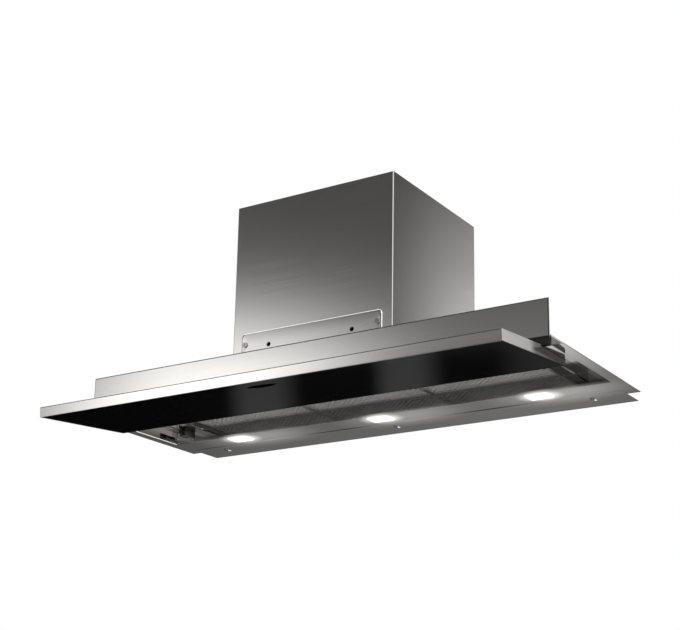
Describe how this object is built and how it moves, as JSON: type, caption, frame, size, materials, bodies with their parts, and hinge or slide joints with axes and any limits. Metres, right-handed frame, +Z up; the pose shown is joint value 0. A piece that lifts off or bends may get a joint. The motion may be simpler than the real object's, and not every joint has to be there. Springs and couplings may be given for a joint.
{
  "type": "range hood",
  "caption": "Pull-out built-in range hood: steel tray with a black glass visor on slides, lift-down grease filters, LED lights, motor box with duct collar.",
  "frame": {"origin": "midway between the two cabinet holes of the front bracket, on the bracket's front face", "axes": "+X to the right, +Y to the wall behind, +Z up; the visor pulls out towards -Y"},
  "size_m": [0.898, 0.485, 0.4144],
  "materials": {
    "brushed_steel": "brushed stainless, fine grain along the long side",
    "polished_steel": "bright polished stainless",
    "galvanised": "zinc coated sheet",
    "black_glass": "opaque black tempered glass",
    "black_plastic": "moulded plastic",
    "grey_plastic": "moulded plastic",
    "nylon": "black glass-filled nylon",
    "black_steel": "black coated steel",
    "rubber": "soft rubber",
    "aluminium": "anodised",
    "aluminium_mesh": "layered expanded mesh",
    "lens": "frosted diffuser",
    "screw_steel": "bright zinc",
    "board": "circuit board",
    "red_plastic": "moulded plastic"
  },
  "bodies": {
    "hood": {"tray": "brushed_steel", "fixed_front_panel": "brushed_steel", "panel_brackets": "galvanised", "front_seal": "black_plastic", "plenum": "galvanised", "motor_box": "brushed_steel", "motor_box_rear_cover": "galvanised", "body_screws": "screw_steel", "front_bracket": "brushed_steel", "bracket_screws": "screw_steel", "duct_collar": "black_plastic", "duct_plate": "galvanised", "flap_rod": "screw_steel", "blower_housing": "black_plastic", "inlet_rings": "black_plastic", "outlet_adapter": "black_plastic", "motor": "galvanised", "motor_spider": "galvanised", "blower_mounts": "rubber", "control_box": "black_plastic", "control_box_lid": "grey_plastic", "control_board": "board", "capacitor": "grey_plastic", "cable_gland": "black_plastic", "led_driver": "grey_plastic", "light_rims": "polished_steel", "light_lenses": "lens", "light_boards": "aluminium", "switch_plate": "brushed_steel", "switch_body": "black_plastic", "switch_pivot": "screw_steel", "rail_left": "black_steel", "rail_right": "black_steel", "filler_screws": "screw_steel"},
    "visor": {"visor_frame": "brushed_steel", "visor_front_profile": "brushed_steel", "visor_glass": "black_glass", "grip_cup": "black_plastic", "visor_ribs": "galvanised", "arm_screws": "screw_steel", "visor_arm_left": "black_steel", "visor_arm_right": "black_steel", "rail_glider_left": "nylon", "rail_glider_right": "nylon"},
    "filler": {"filler_plate": "brushed_steel"},
    "front_flap": {"flap_front": "grey_plastic"},
    "rear_flap": {"flap_rear": "grey_plastic"},
    "fan_wheel": {"impeller": "grey_plastic", "impeller_shaft": "screw_steel"},
    "plunger": {"switch_plunger": "red_plastic"},
    "lever": {"switch_lever": "polished_steel"},
    "filter_left": {"filter_frame_left": "aluminium", "filter_mesh_left": "aluminium_mesh"},
    "latch_left": {"filter_latch_left": "black_plastic"},
    "filter_centre": {"filter_frame_centre": "aluminium", "filter_mesh_centre": "aluminium_mesh"},
    "latch_centre": {"filter_latch_centre": "black_plastic"},
    "filter_right": {"filter_frame_right": "aluminium", "filter_mesh_right": "aluminium_mesh"},
    "latch_right": {"filter_latch_right": "black_plastic"}
  },
  "joints": [
    {"name": "visor_slide", "type": "slide", "parent": "hood", "child": "visor", "axis": [0, -0.9962, -0.0872], "range_m": [-0.1345, 0]},
    {"name": "filler_slide", "type": "slide", "parent": "hood", "child": "filler", "axis": [0, 1, 0], "range_m": [-0.012, 0]},
    {"name": "front_flap_hinge", "type": "hinge", "parent": "hood", "child": "front_flap", "pos_m": [0, 0.1785, 0.27], "axis": [-1, 0, 0], "range_deg": [0, 75]},
    {"name": "rear_flap_hinge", "type": "hinge", "parent": "hood", "child": "rear_flap", "pos_m": [0, 0.1785, 0.27], "axis": [1, 0, 0], "range_deg": [0, 75]},
    {"name": "fan_spin", "type": "hinge", "parent": "hood", "child": "fan_wheel", "pos_m": [0, 0.1315, 0.092], "axis": [1, 0, 0], "continuous": true},
    {"name": "plunger_slide", "type": "slide", "parent": "hood", "child": "plunger", "axis": [0, 1, 0], "range_m": [0, 0.0035], "stiffness_N_per_m": 200},
    {"name": "lever_hinge", "type": "hinge", "parent": "hood", "child": "lever", "pos_m": [-0.4193, 0.196, -0.0679], "axis": [-1, 0, 0], "range_deg": [0, 3], "stiffness_Nm_per_rad": 0.05},
    {"name": "filter_left_hinge", "type": "hinge", "parent": "hood", "child": "filter_left", "pos_m": [-0.232, 0.202, -0.0628], "axis": [1, 0, 0], "range_deg": [0, 60]},
    {"name": "latch_left_slide", "type": "slide", "parent": "filter_left", "child": "latch_left", "axis": [0, 1, 0], "range_m": [0, 0.006], "stiffness_N_per_m": 300},
    {"name": "filter_centre_hinge", "type": "hinge", "parent": "hood", "child": "filter_centre", "pos_m": [0, 0.202, -0.0628], "axis": [1, 0, 0], "range_deg": [0, 60]},
    {"name": "latch_centre_slide", "type": "slide", "parent": "filter_centre", "child": "latch_centre", "axis": [0, 1, 0], "range_m": [0, 0.006], "stiffness_N_per_m": 300},
    {"name": "filter_right_hinge", "type": "hinge", "parent": "hood", "child": "filter_right", "pos_m": [0.232, 0.202, -0.0628], "axis": [1, 0, 0], "range_deg": [0, 60]},
    {"name": "latch_right_slide", "type": "slide", "parent": "filter_right", "child": "latch_right", "axis": [0, 1, 0], "range_m": [0, 0.006], "stiffness_N_per_m": 300}
  ]
}
